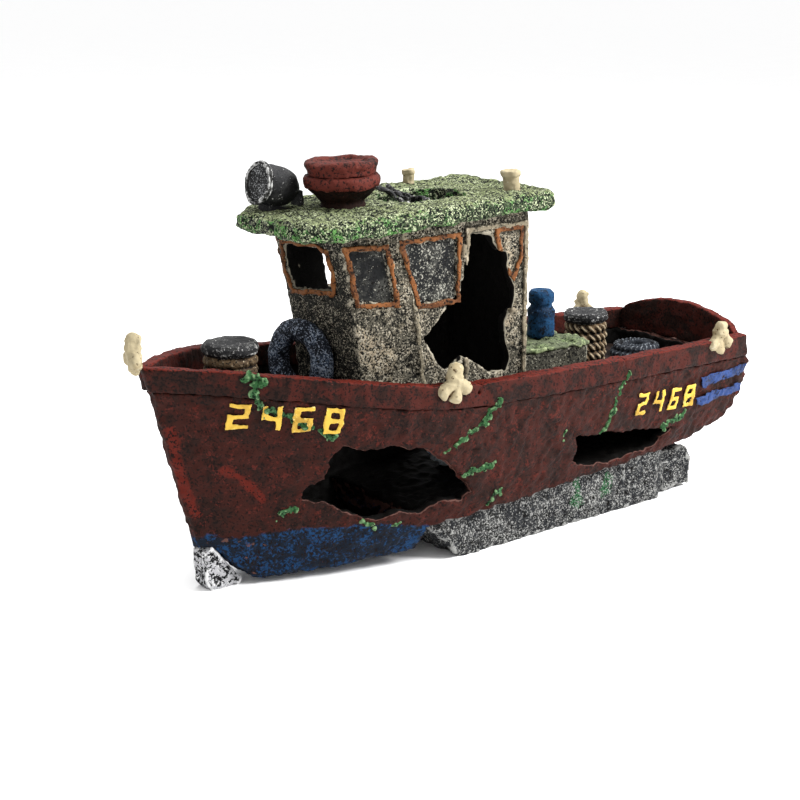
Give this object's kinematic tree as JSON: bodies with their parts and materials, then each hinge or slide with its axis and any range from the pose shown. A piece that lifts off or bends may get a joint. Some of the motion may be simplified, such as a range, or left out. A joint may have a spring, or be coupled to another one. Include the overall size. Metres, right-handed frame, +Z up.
{
  "type": "sunken fishing boat aquarium bubbler ornament",
  "caption": "Sunken fishing boat aquarium ornament: broken hollow hull and wheelhouse on a rock base, with an inner air line and lift-off air stone.",
  "frame": {"origin": "on the floor, under the centre of the boat's bounding box", "axes": "+X towards the stern, +Y towards starboard, +Z up"},
  "size_m": [0.2349, 0.0832, 0.125],
  "materials": {
    "hull_paint": "dark red-brown paint over cast resin, black wash, worn red edges, blue below the waterline",
    "forefoot_paint": "white and silver dry brushing over black",
    "rock": "dark grey rock with white dry brushing",
    "deck_paint": "dark grey-brown weathered deck",
    "rail_paint": "red-brown paint, worn on the edges",
    "wheelhouse_stone": "grey-khaki grained resin with black and white granules",
    "roof_moss": "pale moss green with black speckle",
    "window_frame_paint": "orange-brown paint",
    "blind_pane": "black with grey speckle",
    "dark_iron_paint": "black paint with pale dry brushing",
    "lamp_rim_paint": "grey-white worn edge over black",
    "funnel_paint": "red-brown paint, dark at the foot",
    "cream_paint": "cream paint with brown in the hollows",
    "twig": "black cast twigs",
    "bollard_rope": "brown and cream wound rope",
    "tyre_paint": "blue-black with pale speckle",
    "hatch_paint": "grey-green speckled resin",
    "blue_paint": "mid blue paint with pale wear",
    "coil_paint": "dark grey-blue rope",
    "yellow_paint": "yellow brush strokes",
    "algae": "bright green cast algae",
    "clear_plastic": "milky translucent plastic",
    "air_stone_mineral": "porous blue-grey mineral"
  },
  "bodies": {
    "boat": {"hull_shell": "hull_paint", "forefoot": "forefoot_paint", "rock_base": "rock", "base_step": "rock", "deck": "deck_paint", "port_rail": "rail_paint", "starboard_rail": "rail_paint", "transom_board": "rail_paint", "wheelhouse": "wheelhouse_stone", "roof": "roof_moss", "front_window_frame": "window_frame_paint", "corner_window_frame": "window_frame_paint", "corner_window_pane": "blind_pane", "side_window_frame": "window_frame_paint", "side_window_pane": "blind_pane", "starboard_window_frames": "window_frame_paint", "starboard_window_pane": "blind_pane", "door_frame": "wheelhouse_stone", "door_window_frame": "window_frame_paint", "door_hinge": "dark_iron_paint", "door_knob": "window_frame_paint", "corner_posts": "wheelhouse_stone", "funnel_stem": "funnel_paint", "funnel_band": "funnel_paint", "funnel_cap": "funnel_paint", "lamp_barrel": "dark_iron_paint", "lamp_rim": "lamp_rim_paint", "lamp_glass": "dark_iron_paint", "lamp_foot": "dark_iron_paint", "roof_stumps": "cream_paint", "roof_twigs": "twig", "bow_bollard": "bollard_rope", "bow_bollard_cap": "dark_iron_paint", "stern_bollard": "bollard_rope", "stern_bollard_cap": "dark_iron_paint", "tyre": "tyre_paint", "hatch_box": "hatch_paint", "hatch_moss": "roof_moss", "gas_bottle": "blue_paint", "gas_bottle_valve": "blue_paint", "rope_coil": "coil_paint", "bow_cleat": "cream_paint", "port_cleats": "cream_paint", "starboard_cleats": "cream_paint", "port_stripes": "blue_paint", "starboard_stripes": "blue_paint", "port_marks": "yellow_paint", "starboard_marks": "yellow_paint", "port_algae": "algae", "starboard_algae": "algae", "air_inlet": "clear_plastic", "air_tube": "clear_plastic", "air_elbow": "clear_plastic", "air_riser": "clear_plastic", "stone_holder": "clear_plastic"},
    "air_stone": {"air_stone": "air_stone_mineral"}
  },
  "joints": [
    {"name": "air_stone_pull", "type": "slide", "parent": "boat", "child": "air_stone", "axis": [0, 0, 1], "range_m": [0, 0.012]}
  ]
}
